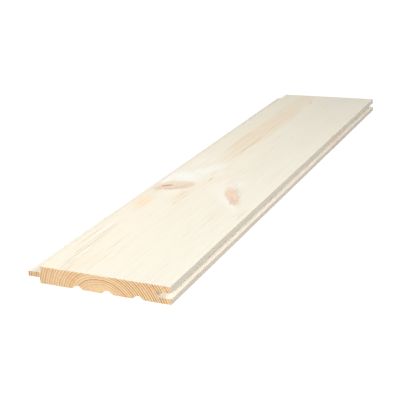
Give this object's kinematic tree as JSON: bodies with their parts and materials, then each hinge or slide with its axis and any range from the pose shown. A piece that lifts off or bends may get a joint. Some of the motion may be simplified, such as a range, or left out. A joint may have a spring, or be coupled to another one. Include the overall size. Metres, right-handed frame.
{
  "type": "tongue and groove board",
  "caption": "Softwood lining board with a tongue along one edge, a groove along the other and relief grooves in the back, white glazed on all faces but its sawn ends.",
  "frame": {"origin": "on the back of the board, in the middle of its overall width and length", "axes": "+X across the board from the tongue side to the groove side, +Y along the grain, +Z from the back to the show face"},
  "size_m": [0.12, 0.52, 0.014],
  "materials": {
    "glazed_spruce": "knotty spruce under a thin matt white glaze, bare tan end grain"
  },
  "bodies": {
    "root": {"tongue_and_groove_board": "glazed_spruce"}
  },
  "joints": []
}
